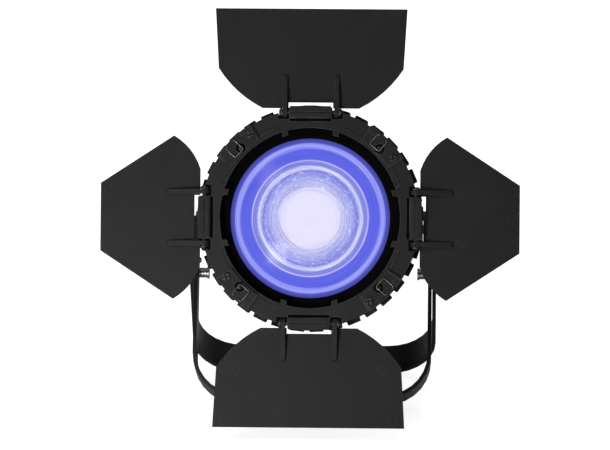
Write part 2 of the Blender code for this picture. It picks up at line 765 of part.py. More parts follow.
def make_turning_ring(axis):
    """The ring that the barn doors turn on, with the four latch studs, and the ring that keeps it."""
    front = TURNING_FRONT
    step = front + TURNING_LIP_LONG
    profile = [(TURNING_LIP_R, front), (TURNING_R, front), (TURNING_R, TURNING_BACK)]
    profile += [(TURNING_INNER_R, TURNING_BACK), (TURNING_INNER_R, step), (TURNING_LIP_R, step)]
    ring = piece("turning_ring", turned(profile, LARGE), "black_paint", axis)
    feet = bmesh.new()
    for station in range(4):
        start = 90 * station + 45 - FOOT_HALF_ANGLE
        foot = sector(STUD_AT_R - 2.4, TURNING_LIP_R + 1.1, start, start + 2 * FOOT_HALF_ANGLE, 3)
        slab([foot], front, front + FOOT_TALL, feet)
    join(ring, feet)
    studs = bmesh.new()
    for station in range(4):
        x, z = polar(STUD_AT_R, 90 * station + 45)
        shape = [(0, STUD_FRONT), (STUD_HEAD_R - 0.9, STUD_FRONT + 0.1)]
        shape += [(STUD_HEAD_R, STUD_FRONT + 0.7), (STUD_HEAD_R, STUD_HEAD_BACK)]
        shape += [(STUD_R, STUD_HEAD_BACK + 0.6), (STUD_R, front + 0.5), (0, front + 0.5)]
        copy_into(studs, moved(turned(shape, 8), (x, 0, z)))
    join(ring, studs)
    keeper = tube(KEEPER_INNER_R, KEEPER_OUTER_R, front + 1.2, front + 2.6, LARGE)
    piece("bearing_ring", keeper, "black_paint", axis)


def helix_bar(start_angle):
    """Cutter for one cam slot of the zoom sleeve, following the lens pins as the ring turns."""
    bm = bmesh.new()
    steps = 8
    over = math.degrees(CAM_SLOT_OVER / SLEEVE_INNER_R)
    slope = FOCUS_TRAVEL / (SLEEVE_OUTER_R * math.radians(CAM_TURN))
    half = CAM_SLOT_HALF / math.cos(math.atan(slope))
    inner, outer = CAM_CUT_R
    rings = []
    for i in range(steps + 1):
        turn = -over + (CAM_TURN + 2 * over) * i / steps
        y = PIN_AT_Y + FOCUS_TRAVEL * turn / CAM_TURN
        ring = []
        for radius, rise in ((inner, -half), (outer, -half), (outer, half), (inner, half)):
            x, z = polar(radius, start_angle + turn)
            ring.append(bm.verts.new((x, y + rise, z)))
        rings.append(ring)
    for first, second in zip(rings, rings[1:]):
        for i in range(4):
            j = (i + 1) % 4
            bm.faces.new((first[i], first[j], second[j], second[i]))
    bm.faces.new(rings[0])
    bm.faces.new(list(reversed(rings[-1])))
    return bm


def lug_outline():
    points = []
    pitch = 360 / LUGS
    for lug in range(LUGS):
        start = pitch * lug
        points += arc(LUG_TIP_R, start, start + pitch * LUG_SHARE, 1)
        points += arc(LUG_ROOT_R, start + pitch * (LUG_SHARE + 0.03), start + pitch * 0.97, 1)
    return points


def make_zoom(axis):
    """Front tube with its straight slots, and the hand ring with its cam sleeve."""
    profile = [(TUBE_INNER_R, TUBE_FRONT), (NOSE_R, TUBE_FRONT), (NOSE_R, FLANGE_FRONT)]
    profile += [(FLANGE_R, FLANGE_FRONT), (FLANGE_R, FLANGE_BACK), (NOSE_R, FLANGE_BACK)]
    profile += [(NOSE_R, TUBE_BACK), (TUBE_INNER_R, TUBE_BACK)]
    body = piece("front_tube", turned(profile, LARGE), "matte_black", axis)
    slots = bmesh.new()
    for pin in range(CAM_PINS):
        low = PIN_AT_Y - 2.0
        high = PIN_AT_Y + FOCUS_TRAVEL + 2.0
        bar = slab([rectangle(CAM_SLOT_HALF, 4, (0, TUBE_INNER_R + 1.5))], low, high)
        copy_into(slots, moved(bar, turn=(0, 360 / CAM_PINS * pin, 0)))
    cut(body, slots)
    grip = slab([lug_outline(), circle(ZOOM_INNER_R, SHOWN)], ZOOM_FRONT, ZOOM_BACK)
    piece("zoom_ring", grip, "black_moulding", axis)
    wall = tube(SLEEVE_INNER_R, SLEEVE_OUTER_R, ZOOM_FRONT + GAP, SLEEVE_BACK, LARGE)
    sleeve = piece("cam_sleeve", wall, "aluminium", axis)
    cams = bmesh.new()
    for pin in range(CAM_PINS):
        copy_into(cams, helix_bar(90 + 360 / CAM_PINS * pin))
    cut(sleeve, cams)


def make_lens(axis):
    """Fresnel lens in its sliding carrier, with the ring that clamps it."""
    seat = CARRIER_FRONT + 2.5
    profile = [(LENS_OPEN_R, CARRIER_FRONT + 1.2), (LENS_OPEN_R + 1.5, CARRIER_FRONT)]
    profile += [(CARRIER_R, CARRIER_FRONT), (CARRIER_R, CARRIER_BACK)]
    profile += [(CARRIER_BORE_R, CARRIER_BACK), (CARRIER_BORE_R, seat), (LENS_OPEN_R, seat)]
    carrier = piece("lens_carrier", turned(profile, SHOWN), "matte_black", axis)
    pins = bmesh.new()
    for pin in range(CAM_PINS):
        peg = moved(rod(CAM_PIN_R, CAM_PIN_FROM, CAM_PIN_TO, SMALL), (0, 0, 0), (90, 0, 0))
        copy_into(pins, moved(moved(peg, (0, PIN_AT_Y, 0)), turn=(0, 360 / CAM_PINS * pin, 0)))
    join(carrier, pins)
    front = LENS_FRONT
    width = (LENS_OPEN_R - 3.0) / (LENS_GROOVES + 1.2)
    profile = [(0, front + 0.2), (width * 0.7, front + 0.35), (width * 1.2, front + 0.7)]
    for groove in range(LENS_GROOVES):
        inner = width * (1.2 + groove)
        profile += [(inner + 0.3, front), (inner + width, front + 0.3 + 0.35 * groove)]
    profile += [(LENS_R, front + 1.5), (LENS_R, front + LENS_THICK), (0, front + LENS_THICK)]
    piece("fresnel_lens", turned(profile, LARGE), "lens", axis)
    behind = front + LENS_THICK + GAP
    clamp = tube(*CLAMP_RING_R, behind, behind + CLAMP_RING_THICK, LARGE)
    piece("lens_clamp_ring", clamp, "matte_black", axis)


def vents(middle, low, high):
    """Cutters for a row of slots along the beam, round the shell."""
    bm = bmesh.new()
    for i in range(VENTS):
        angle = middle - VENT_SPREAD / 2 + VENT_SPREAD * i / (VENTS - 1)
        bar = slab([rectangle(VENT_HALF, 5, (0, SHELL_R))], low, high)
        copy_into(bm, moved(bar, turn=(0, angle, 0)))
    return bm


def make_housing(axis):
    """Body shell with its two tilt bosses."""
    profile = [(SHELL_INNER_R, SHELL_FRONT), (SHELL_R - 1.5, SHELL_FRONT)]
    profile += [(SHELL_R, SHELL_FRONT + 1.5), (SHELL_R, SHELL_BACK), (SHELL_INNER_R, SHELL_BACK)]
    shell = piece("housing", turned(profile, SHOWN), "black_paint", axis)
    section = [(0, BOSS_FROM), (BOSS_R, BOSS_FROM), (BOSS_R, BOSS_FACE - 1)]
    section += [(BOSS_R - 1, BOSS_FACE), (0, BOSS_FACE)]
    bosses = bmesh.new()
    for sign in (-1, 1):
        boss = turned(section, MEDIUM)
        copy_into(bosses, moved(boss, (0, 0, -AXIS_RISE), (0, 0, -90 * sign)))
    join(shell, bosses)
    cut(shell, cross_rod(TILT_BOLT_R + GAP, BOSS_FACE + 5), (0, 0, -AXIS_RISE))
    for middle in (0, 180):
        cut(shell, vents(middle, 6, SHELL_BACK - 5))


def finned_outline(core, tip, count, thick):
    points = []
    for fin in range(count):
        angle = 360 * fin / count
        points += [sideways(angle, -thick / 2, core), sideways(angle, -thick / 2, tip)]
        points += [sideways(angle, thick / 2, tip), sideways(angle, thick / 2, core)]
    return points


def make_light_engine(axis):
    """Reflector, LED board, heat sink and LED driver."""
    cone = [(REFLECTOR_NECK_R, REFLECTOR_BACK), (REFLECTOR_MOUTH_R, REFLECTOR_FRONT)]
    cone += [(REFLECTOR_MOUTH_R + REFLECTOR_WALL, REFLECTOR_FRONT)]
    cone += [(REFLECTOR_NECK_R + REFLECTOR_WALL, REFLECTOR_BACK)]
    piece("reflector", turned(cone, MEDIUM), "aluminium", axis)
    plate = slab([rectangle(LED_BOARD_HALF, LED_BOARD_HALF)], LED_BOARD_FRONT, LED_BOARD_BACK)
    board = piece("led_board", plate, "board", axis)
    dome = [(0, LED_DOME_FRONT), (LED_DOME_R - 6, LED_DOME_FRONT + 0.4)]
    dome += [(LED_DOME_R - 2, LED_DOME_FRONT + 1.4), (LED_DOME_R, LED_DOME_FRONT + 2.4)]
    dome += [(LED_DOME_R, LED_BOARD_FRONT + 0.8), (0, LED_BOARD_FRONT + 0.8)]
    join(board, turned(dome, 16))
    sink = piece("heat_sink", rod(SINK_R, SINK_FRONT, SINK_PLATE_BACK, LARGE), "aluminium", axis)
    fins = finned_outline(SINK_CORE_R, SINK_R - 0.5, SINK_FINS, SINK_FIN_THICK)
    join(sink, slab([fins], SINK_PLATE_BACK - 1, SINK_BACK))
    driver = slab([rectangle(*DRIVER_HALF, (0, DRIVER_Z))], *DRIVER_ENDS)
    piece("led_driver", driver, "aluminium", axis)


def blades(root, low, high):
    """Fan blades, each a thin twisted plate."""
    bm = bmesh.new()
    for blade in range(FAN_BLADES):
        start = 360 * blade / FAN_BLADES
        corners = []
        for radius in (root, BLADE_TIP_R):
            for y, lag in ((low, 0), (high, BLADE_LAG)):
                for thick in (0, 3.4 * root / radius + 1.5):
                    x, z = polar(radius, start + lag + thick)
                    corners.append(bm.verts.new((x, y, z)))
        a, b, c, d, e, f, g, h = corners
        sides = ((a, b, d, c), (e, g, h, f), (a, e, f, b))
        sides += ((c, d, h, g), (a, c, g, e), (b, f, h, d))
        for side in sides:
            bm.faces.new(side)
    return bm


def make_fan(axis):
    """Square fan frame with its spider, and the rotor."""
    outline = rectangle(FAN_HALF, FAN_HALF, corner=3)
    body = slab([outline, circle(FAN_OPEN_R, LARGE)], FAN_FRONT, FAN_BACK)
    frame = piece("fan_frame", body, "black_moulding", axis)
    join(frame, slab([circle(FAN_SPIDER_R, MEDIUM)], FAN_BACK - 1.6, FAN_BACK - 0.2))
    for angle in (45, 135):
        arm = slab([rectangle(FAN_OPEN_R + 1, 1.4)], FAN_BACK - 1.5, FAN_BACK - 0.3)
        join(frame, arm, turn=(0, angle, 0))
    hub = rod(FAN_HUB_R, FAN_FRONT + 1, FAN_BACK - 2.2, MEDIUM)
    rotor = piece("fan_rotor", hub, "matte_black", axis)
    join(rotor, blades(FAN_HUB_R - 0.6, FAN_FRONT + 1.6, FAN_BACK - 2.8))


def panel_holes():
    """Cutters for the display, buttons, connectors and air slots of the rear panel."""
    low, high = WALL_FRONT - 2, COVER_BACK + 2
    holes = bmesh.new()
    slab([rectangle(*DISPLAY_HALF, (0, DISPLAY_Z))], low, high, holes)
    for x in BUTTON_X:
        slab([circle(BUTTON_R + GAP + 0.1, SMALL, (x, BUTTON_Z))], low, high, holes)
    for x in CONNECTOR_X:
        slab([circle(CONNECTOR_R + GAP + 0.2, 16, (x, CONNECTOR_Z))], low, high, holes)
    for row in range(REAR_SLOTS):
        slot = rectangle(20 - 4 * row, 1.3, (0, REAR_SLOT_Z + REAR_SLOT_PITCH * row))
        slab([slot], low, high, holes)
    return holes


def make_rear(axis):
    """Rear cover with the control board, display, buttons, connectors and safety eye."""
    profile = [(SHELL_INNER_R, COVER_FRONT), (SHELL_R, COVER_FRONT), (SHELL_R, WALL_FRONT)]
    profile += [(SHELL_R - COVER_WALL, COVER_BACK), (0, COVER_BACK), (0, WALL_FRONT)]
    profile += [(SHELL_INNER_R, WALL_FRONT)]
    cover = piece("rear_cover", turned(profile, SHOWN), "black_paint", axis)
    cut(cover, panel_holes())
    for middle in (0, 180):
        cut(cover, vents(middle, COVER_FRONT + 7.7, WALL_FRONT - 8))
    half_x, half_z = (half - 0.4 for half in DISPLAY_HALF)
    window = slab([rectangle(half_x, half_z, (0, DISPLAY_Z))], WALL_FRONT + 0.8, COVER_BACK + 0.3)
    piece("display_window", window, "display", axis)
    board = slab([rectangle(*CONTROL_BOARD_HALF, (0, CONTROL_BOARD_Z))], *CONTROL_BOARD_ENDS)
    piece("control_board", board, "board", axis)
    flange = WALL_FRONT - 0.9
    for number, x in enumerate(BUTTON_X, 1):
        cap = [(0, flange - 0.6), (BUTTON_R + BUTTON_FLANGE, flange - 0.6)]
        cap += [(BUTTON_R + BUTTON_FLANGE, flange), (BUTTON_R, flange)]
        cap += [(BUTTON_R, COVER_BACK + BUTTON_PROUD - 0.6)]
        cap += [(BUTTON_R - 0.6, COVER_BACK + BUTTON_PROUD), (0, COVER_BACK + BUTTON_PROUD)]
        piece(f"menu_button_{number}", turned(cap, 16), "rubber", axis, (x, 0, BUTTON_Z))
    make_connectors(axis)
    make_safety_eye(cover, axis)


def socket_profile(nose):
    """Panel connector: body through the cover, flange on it, and a round socket."""
    flange = COVER_BACK + GAP
    rim = flange + CONNECTOR_NOSE
    return [
        (0, CONNECTOR_FRONT),
        (CONNECTOR_R, CONNECTOR_FRONT),
        (CONNECTOR_R, flange),
        (CONNECTOR_FLANGE_R, flange),
        (CONNECTOR_FLANGE_R, flange + CONNECTOR_FLANGE),
        (nose, flange + CONNECTOR_FLANGE),
        (nose, rim),
        (nose - SOCKET_WALL, rim),
        (nose - SOCKET_WALL, rim - SOCKET_DEPTH),
        (0, rim - SOCKET_DEPTH),
    ]


def plug_pins(radius, low, high):
    """Three rods in a ring, as a data plug's pins or the holes for them."""
    bm = bmesh.new()
    for angle in PLUG_PIN_ANGLES:
        x, z = polar(PLUG_PIN_RING, angle)
        copy_into(bm, moved(rod(radius, low, high, 6), (x, 0, z)))
    return bm


def make_connectors(axis):
    """Power in and out, and data in and out, in one row."""
    floor = COVER_BACK + GAP + CONNECTOR_NOSE - SOCKET_DEPTH
    cores = {
        "power_inlet": rod(4.2, floor - 1, floor + 6.5, 10),
        "power_outlet": rod(4.2, floor - 1, floor + 6.5, 10),
        "data_input": plug_pins(0.9, floor - 1, floor + 6.5),
        "data_output": rod(6.2, floor - 1, floor + 6.8, 14),
    }
    for (name, core), x in zip(cores.items(), CONNECTOR_X):
        nose = POWER_NOSE_R if name.startswith("power") else DATA_NOSE_R
        place = (x, 0, CONNECTOR_Z)
        body = piece(name, turned(socket_profile(nose), MEDIUM), "black_moulding", axis, place)
        join(body, core, place)
        if name == "data_output":
            cut(body, plug_pins(1.2, floor + 1, floor + 9), place)


def make_safety_eye(cover, axis):
    """Steel loop on top of the cover, its legs in two blind sockets in a pad."""
    outline = rectangle(EYE_HALF + 4, 2.4, (0, SHELL_R - 0.4))
    join(cover, slab([outline], EYE_AT_Y - PAD_HALF, EYE_AT_Y + PAD_HALF))
    holes = bmesh.new()
    for x in (-EYE_HALF, EYE_HALF):
        socket = rod(EYE_WIRE_R + GAP, 0, 8, SMALL)
        copy_into(holes, moved(socket, (x, EYE_AT_Y, SHELL_R - 5), (90, 0, 0)))
    cut(cover, holes)
    low = SHELL_R - 1.2
    path = [(-EYE_HALF, EYE_AT_Y, low)]
    for x, z in arc(EYE_HALF, 180, 0, 8):
        path.append((x, EYE_AT_Y, SHELL_R + EYE_STRAIGHT + z))
    path.append((EYE_HALF, EYE_AT_Y, low))
    loop = round_wire("safety_eye", path, EYE_WIRE_R, "steel")
    loop.parent = axis


def main():
    clear_scene()
    half = STRIP_WIDTH / 2
    lean = math.radians(FRONT_LEAN)
    pivot_height = FRONT_YOKE_DROP * math.cos(lean) + half * math.sin(lean)
    hinge_height = pivot_height - LEG_HINGE_DROP * math.cos(lean)
    diagonal = math.hypot(REAR_YOKE_DROP, half)
    rear_lean = math.degrees(math.atan2(half, REAR_YOKE_DROP) + math.acos(hinge_height / diagonal))
    pivot = (0, PIVOT_BACK, pivot_height)
    front = empty("front_yoke_frame", None, pivot, (-FRONT_LEAN, 0, 0))
    rear = empty("rear_yoke_frame", front, (0, 0, -LEG_HINGE_DROP), (FRONT_LEAN + rear_lean, 0, 0))
    head = empty("head_frame", None, pivot, (-HEAD_TIP, 0, 0))
    axis = empty("optical_axis", head, (0, 0, AXIS_RISE))
    make_yokes(front, rear)
    make_yoke_hardware(front, head)
    make_housing(axis)
    make_light_engine(axis)
    make_fan(axis)
    make_rear(axis)
    make_zoom(axis)
    make_lens(axis)
    make_turning_ring(axis)
    make_barn_doors(axis)


main()
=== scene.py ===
"""Looks of the fresnel spotlight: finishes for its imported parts, finer pieces, light and camera."""

import json
import math

import bmesh
import bpy
from mathutils import Matrix, Vector

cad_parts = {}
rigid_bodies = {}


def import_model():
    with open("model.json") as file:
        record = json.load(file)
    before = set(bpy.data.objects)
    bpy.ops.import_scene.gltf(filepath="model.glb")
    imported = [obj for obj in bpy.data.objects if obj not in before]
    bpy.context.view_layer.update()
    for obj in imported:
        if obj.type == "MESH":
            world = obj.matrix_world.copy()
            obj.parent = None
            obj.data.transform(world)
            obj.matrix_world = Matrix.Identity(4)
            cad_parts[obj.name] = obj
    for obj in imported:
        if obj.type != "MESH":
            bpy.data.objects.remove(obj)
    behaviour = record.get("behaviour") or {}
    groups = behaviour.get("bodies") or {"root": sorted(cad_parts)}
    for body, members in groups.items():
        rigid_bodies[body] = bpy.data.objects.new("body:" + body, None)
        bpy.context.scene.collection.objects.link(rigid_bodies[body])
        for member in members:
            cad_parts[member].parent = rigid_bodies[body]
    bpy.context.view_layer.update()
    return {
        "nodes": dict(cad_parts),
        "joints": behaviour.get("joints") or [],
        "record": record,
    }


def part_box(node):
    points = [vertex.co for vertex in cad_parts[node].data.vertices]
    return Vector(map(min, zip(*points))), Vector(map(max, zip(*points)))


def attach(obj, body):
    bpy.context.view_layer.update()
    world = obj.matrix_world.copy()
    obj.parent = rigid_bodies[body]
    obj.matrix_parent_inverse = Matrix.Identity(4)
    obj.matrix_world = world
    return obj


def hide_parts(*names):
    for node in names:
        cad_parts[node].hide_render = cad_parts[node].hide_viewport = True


bl_info = {
    "name": "Fresnel Spotlight",
    "version": (1, 0, 0),
    "blender": (4, 5, 0),
    "location": "View3D > Sidebar > Spotlight",
    "description": "Finishes, fine pieces and studio stage of a fresnel spotlight with barn doors",
    "category": "Object",
}

for leftover in list(bpy.data.objects):
    bpy.data.objects.remove(leftover, do_unlink=True)

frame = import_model()

MM = 0.001
JOINTS = {joint["name"]: joint for joint in frame["joints"]}
STATION_ANGLES = {"top": 90, "right": 0, "bottom": 270, "left": 180}
CLIP_ANGLES = {"upper_right": 45, "upper_left": 135, "lower_left": 225, "lower_right": 315}


def head_matrix():
    """Frame of the head: +Y back along the optical axis, its origin level with the tilt pivot."""
    along = Vector(JOINTS["barn_door_turn"]["axis"]).normalized()
    across = Vector((1, 0, 0))
    up = across.cross(along)
    on_axis = Vector(JOINTS["barn_door_turn"]["pos_m"])
    pivot = Vector(JOINTS["head_tilt"]["pos_m"])
    origin = on_axis + along * (pivot - on_axis).dot(along)
    matrix = Matrix.Translation(origin)
    for column, axis in enumerate((across, along, up)):
        matrix.col[column].xyz = axis
    return matrix


HEAD = head_matrix()


def node_points(node):
    """The node's points in the head's frame, in millimetres."""
    inverse = HEAD.inverted()
    return [inverse @ vertex.co / MM for vertex in frame["nodes"][node].data.vertices]


def front_of(node):
    return min(point.y for point in node_points(node))


def back_of(node):
    return max(point.y for point in node_points(node))


def reach_of(node):
    """Largest distance of the node from the optical axis, in millimetres."""
    return max(math.hypot(point.x, point.z) for point in node_points(node))


def polar(radius, angle):
    """Point at this angle in degrees from +X towards +Z."""
    return radius * math.cos(math.radians(angle)), radius * math.sin(math.radians(angle))


# ---------------------------------------------------------------- shader building


def shaded(colour, factor):
    return tuple(factor * channel for channel in colour)


class Shader:
    """A material's nodes, with short calls for the ones used here."""

    def __init__(self, name):
        self.material = bpy.data.materials.get(name)
        self.fresh = self.material is None
        if self.fresh:
            self.material = bpy.data.materials.new(name)
            self.material.use_nodes = True
        self.tree = self.material.node_tree
        self.bsdf = self.tree.nodes["Principled BSDF"]

    def node(self, kind, **settings):
        made = self.tree.nodes.new(f"ShaderNode{kind}")
        for key, value in settings.items():
            setattr(made, key, value)
        return made

    def join(self, source, target):
        self.tree.links.new(source, target)

    def math(self, operation, first, second=0.0):
        made = self.node("Math", operation=operation)
        for socket, value in zip(made.inputs, (first, second)):
            if isinstance(value, (int, float)):
                socket.default_value = value
            else:
                self.join(value, socket)
        return made.outputs[0]

    def place(self):
        """Coordinates in metres that stay with the piece."""
        return self.node("TexCoord").outputs["Object"]

    def noise(self, scale, detail=3.0, roughness=0.5, vector=None):
        made = self.node("TexNoise")
        made.inputs["Scale"].default_value = scale
        made.inputs["Detail"].default_value = detail
        made.inputs["Roughness"].default_value = roughness
        self.join(vector or self.place(), made.inputs["Vector"])
        return made.outputs["Fac"]

    def remap(self, value, low, high, to_low, to_high):
        made = self.node("MapRange")
        for socket, number in zip(made.inputs[1:5], (low, high, to_low, to_high)):
            socket.default_value = number
        self.join(value, made.inputs[0])
        return made.outputs[0]

    def blend(self, factor, first, second):
        made = self.node("Mix", data_type="RGBA")
        self.join(factor, made.inputs["Factor"])
        for name, value in (("A", first), ("B", second)):
            socket = next(s for s in made.inputs if s.name == name and s.type == "RGBA")
            if isinstance(value, tuple):
                socket.default_value = (*value[:3], 1.0)
            else:
                self.join(value, socket)
        return next(s for s in made.outputs if s.type == "RGBA")

    def edge_mask(self, radius_mm):
        """1 on edges, where rubbed wear and the moulding's painted edge highlight go; 0 on open
        faces.
        """
        bevel = self.node("Bevel", samples=6)
        bevel.inputs["Radius"].default_value = radius_mm * MM
        geometry = self.node("NewGeometry")
        dot = self.node("VectorMath", operation="DOT_PRODUCT")
        self.join(bevel.outputs[0], dot.inputs[0])
        self.join(geometry.outputs["Normal"], dot.inputs[1])
        return self.remap(dot.outputs["Value"], 0.985, 0.80, 0.0, 1.0)

    def bump(self, height, distance_mm, strength=1.0):
        made = self.node("Bump")
        made.inputs["Distance"].default_value = distance_mm * MM
        made.inputs["Strength"].default_value = strength
        self.join(height, made.inputs["Height"])
        self.join(made.outputs[0], self.bsdf.inputs["Normal"])

    def base(self, colour):
        socket = self.bsdf.inputs["Base Color"]
        if isinstance(colour, tuple):
            socket.default_value = (*colour[:3], 1.0)
        else:
            self.join(colour, socket)


def moulded_plastic(
    name, colour, worn_and_highlit, grain_scale=900.0, grain_mm=0.05, roughness=(0.48, 0.66), wear_and_highlight=0.9
):
    """Fine-textured black moulding, greyer on its edges from rubbed wear and a painted highlight for
    the light its rounded edges catch, with dust in its grain.
    """
    shader = Shader(name)
    if not shader.fresh:
        return shader.material
    grain = shader.noise(grain_scale, 4.0, 0.6)
    mottle = shader.noise(38.0, 3.0)
    specks = shader.remap(shader.noise(1900.0, 1.0), 0.70, 0.78, 0.0, 0.55)
    # Edge band in the worn colour: rubbed wear, and a painted highlight along the rounded edges.
    rubbed_and_highlit = shader.math("MULTIPLY", shader.edge_mask(0.8), wear_and_highlight)
    patches = shader.remap(shader.noise(120.0, 4.0), 0.35, 0.65, 0.25, 1.0)
    rubbed_and_highlit = shader.math("MULTIPLY", rubbed_and_highlit, patches)
    body = shader.blend(
        shader.remap(mottle, 0.3, 0.7, 0.0, 1.0), shaded(colour, 0.82), shaded(colour, 1.15)
    )
    dusty = shader.blend(specks, body, shaded(colour, 3.0))
    shader.base(shader.blend(rubbed_and_highlit, dusty, worn_and_highlit))
    shader.join(shader.remap(grain, 0.3, 0.7, *roughness), shader.bsdf.inputs["Roughness"])
    shader.bsdf.inputs["Specular IOR Level"].default_value = 0.26
    shader.bump(grain, grain_mm)
    return shader.material


def powder_coat(name, colour, worn_and_highlit, roughness=(0.34, 0.5), wear_and_highlight=0.6):
    """Satin black powder coat with faint orange peel, polished along its edges."""
    shader = Shader(name)
    if not shader.fresh:
        return shader.material
    peel = shader.noise(420.0, 2.0, 0.45)
    mottle = shader.noise(26.0, 3.0)
    rubbed_and_highlit = shader.math("MULTIPLY", shader.edge_mask(0.4), wear_and_highlight)
    patches = shader.remap(shader.noise(90.0, 5.0), 0.38, 0.62, 0.15, 1.0)
    rubbed_and_highlit = shader.math("MULTIPLY", rubbed_and_highlit, patches)
    body = shader.blend(mottle, shaded(colour, 0.8), shaded(colour, 1.2))
    shader.base(shader.blend(rubbed_and_highlit, body, worn_and_highlit))
    shader.join(shader.remap(peel, 0.3, 0.7, *roughness), shader.bsdf.inputs["Roughness"])
    shader.bsdf.inputs["Specular IOR Level"].default_value = 0.32
    shader.bump(peel, 0.06)
    return shader.material


def bare_metal(name, colour, roughness=(0.18, 0.36), scratch_scale=700.0):
    """Plated or brushed metal with fine scratches and slight tarnish."""
    shader = Shader(name)
    if not shader.fresh:
        return shader.material
    stretch = shader.node("Mapping")
    stretch.inputs["Scale"].default_value = (1.0, 0.06, 1.0)
    shader.join(shader.place(), stretch.inputs["Vector"])
    scratches = shader.noise(scratch_scale, 3.0, 0.6, stretch.outputs[0])
    tarnish = shader.noise(150.0, 3.0)
    shader.base(shader.blend(tarnish, shaded(colour, 0.72), colour))
    shader.bsdf.inputs["Metallic"].default_value = 1.0
    shader.join(shader.remap(scratches, 0.3, 0.7, *roughness), shader.bsdf.inputs["Roughness"])
    shader.bump(scratches, 0.01)
    return shader.material


def light_trap(name, colour):
    """Deep matte black that swallows stray light, with a faint cloudy sheen; on the clip screws it is
    painted shade in their cross recesses.
    """
    shader = Shader(name)
    if not shader.fresh:
        return shader.material
    cloud = shader.noise(60.0, 3.0)
    shader.base(shader.blend(cloud, shaded(colour, 0.5), colour))
    shader.join(shader.remap(cloud, 0.3, 0.7, 0.8, 0.95), shader.bsdf.inputs["Roughness"])
    shader.bsdf.inputs["Specular IOR Level"].default_value = 0.03
    shader.bump(shader.noise(1500.0, 2.0), 0.02)
    return shader.material


def smooth_gloss(name, colour, roughness=0.1):
    """Glossy smoked window or polished dark plastic, with faint smears."""
    shader = Shader(name)
    if not shader.fresh:
        return shader.material
    smear = shader.noise(90.0, 4.0)
    shader.base(shader.blend(smear, shaded(colour, 0.7), colour))
    smeared = shader.remap(smear, 0.35, 0.7, roughness, 2.2 * roughness)
    shader.join(smeared, shader.bsdf.inputs["Roughness"])
    return shader.material


def circuit_board(name, colour):
    """Green solder mask over faint copper tracks."""
    shader = Shader(name)
    if not shader.fresh:
        return shader.material
    tracks = shader.node("TexBrick")
    tracks.inputs["Scale"].default_value = 90.0
    shader.join(shader.place(), tracks.inputs["Vector"])
    mask = shader.remap(tracks.outputs["Fac"], 0.0, 1.0, 0.0, 0.7)
    shader.base(shader.blend(mask, colour, shaded(colour, 2.2)))
    uneven = shader.remap(shader.noise(200.0), 0.3, 0.7, 0.3, 0.5)
    shader.join(uneven, shader.bsdf.inputs["Roughness"])
    return shader.material


# Bands of the lit lens from its middle outwards: radius as a share of the clear radius, and colour.
GLOW_BANDS = (
    (0.00, "core"),
    (0.37, "core"),
    (0.41, "halo"),
    (0.50, "haze"),
    (0.60, "violet"),
    (0.632, "spark"),
    (0.652, "spark"),
    (0.67, "violet"),
    (0.717, "violet"),
    (0.725, "core"),
    (0.735, "violet"),
    (0.75, "blue"),
    (0.865, "blue"),
    (0.895, "rim_light"),
    (0.935, "rim_light"),
    (0.95, "rim_dark"),
    (1.00, "edge"),
)
GLOW_COLOURS = {
    "core": (0.80, 0.77, 1.0),
    "halo": (0.62, 0.64, 0.93),
    "haze": (0.46, 0.48, 0.90),
    "violet": (0.25, 0.26, 0.80),
    "spark": (0.72, 0.76, 1.0),
    "blue": (0.118, 0.135, 0.82),
    "rim_light": (0.36, 0.39, 0.99),
    "rim_dark": (0.085, 0.09, 0.50),
    "edge": (0.04, 0.045, 0.26),
}


def lit_lens(name, clear_radius_mm, strength):
    """Stepped glass lit from behind: bands of light, with fine streaks that follow its grooves."""
    shader = Shader(name)
    if not shader.fresh:
        return shader.material
    flat = shader.node("VectorMath", operation="MULTIPLY")
    flat.inputs[1].default_value = (1, 0, 1)
    shader.join(shader.place(), flat.inputs[0])
    length = shader.node("VectorMath", operation="LENGTH")
    shader.join(flat.outputs[0], length.inputs[0])
    radius = shader.math("DIVIDE", length.outputs["Value"], clear_radius_mm * MM)
    direction = shader.node("VectorMath", operation="NORMALIZE")
    shader.join(flat.outputs[0], direction.inputs[0])

    def groove_noise(round_scale, out_scale, detail):
        """Noise that is stretched round the lens."""
        around = shader.node("VectorMath", operation="SCALE")
        around.inputs["Scale"].default_value = round_scale
        shader.join(direction.outputs[0], around.inputs[0])
        outward = shader.node("CombineXYZ")
        shader.join(shader.math("MULTIPLY", radius, out_scale), outward.inputs["Y"])
        total = shader.node("VectorMath", operation="ADD")
        shader.join(around.outputs[0], total.inputs[0])
        shader.join(outward.outputs[0], total.inputs[1])
        return shader.noise(1.0, detail, 0.6, total.outputs[0])

    streaks = groove_noise(0.9, 62.0, 5.0)
    sparkle = groove_noise(9.0, 110.0, 4.0)
    ramp = shader.node("ValToRGB")
    stops = ramp.color_ramp.elements
    while len(stops) < len(GLOW_BANDS):
        stops.new(1.0)
    for stop, (share, band) in zip(stops, GLOW_BANDS):
        stop.position = share
        stop.color = (*GLOW_COLOURS[band], 1.0)
    uneven = shader.math("SUBTRACT", groove_noise(2.5, 6.0, 3.0), 0.5)
    wobble = shader.math("MULTIPLY", uneven, 0.012)
    shader.join(shader.math("ADD", radius, wobble), ramp.inputs[0])
    outside_core = shader.remap(radius, 0.30, 0.40, 0.0, 1.0)
    in_haze = shader.math("MULTIPLY", outside_core, shader.remap(radius, 0.70, 0.64, 0.0, 1.0))
    dim = shader.remap(streaks, 0.36, 0.60, 0.85, 0.0)
    dim = shader.math("MULTIPLY", dim, shader.math("MULTIPLY", outside_core, 0.55))
    streaked = shader.blend(dim, ramp.outputs["Color"], (0.07, 0.08, 0.50))
    bright = shader.math("MULTIPLY", shader.remap(sparkle, 0.56, 0.68, 0.0, 0.75), in_haze)
    glow = shader.blend(bright, streaked, (0.93, 0.94, 1.0))
    shader.base((0.01, 0.01, 0.03))
    shader.join(glow, shader.bsdf.inputs["Emission Color"])
    shader.bsdf.inputs["Emission Strength"].default_value = strength
    shader.bsdf.inputs["Roughness"].default_value = 0.14
    shader.bsdf.inputs["Specular IOR Level"].default_value = 0.08
    return shader.material


# ---------------------------------------------------------------- mesh building


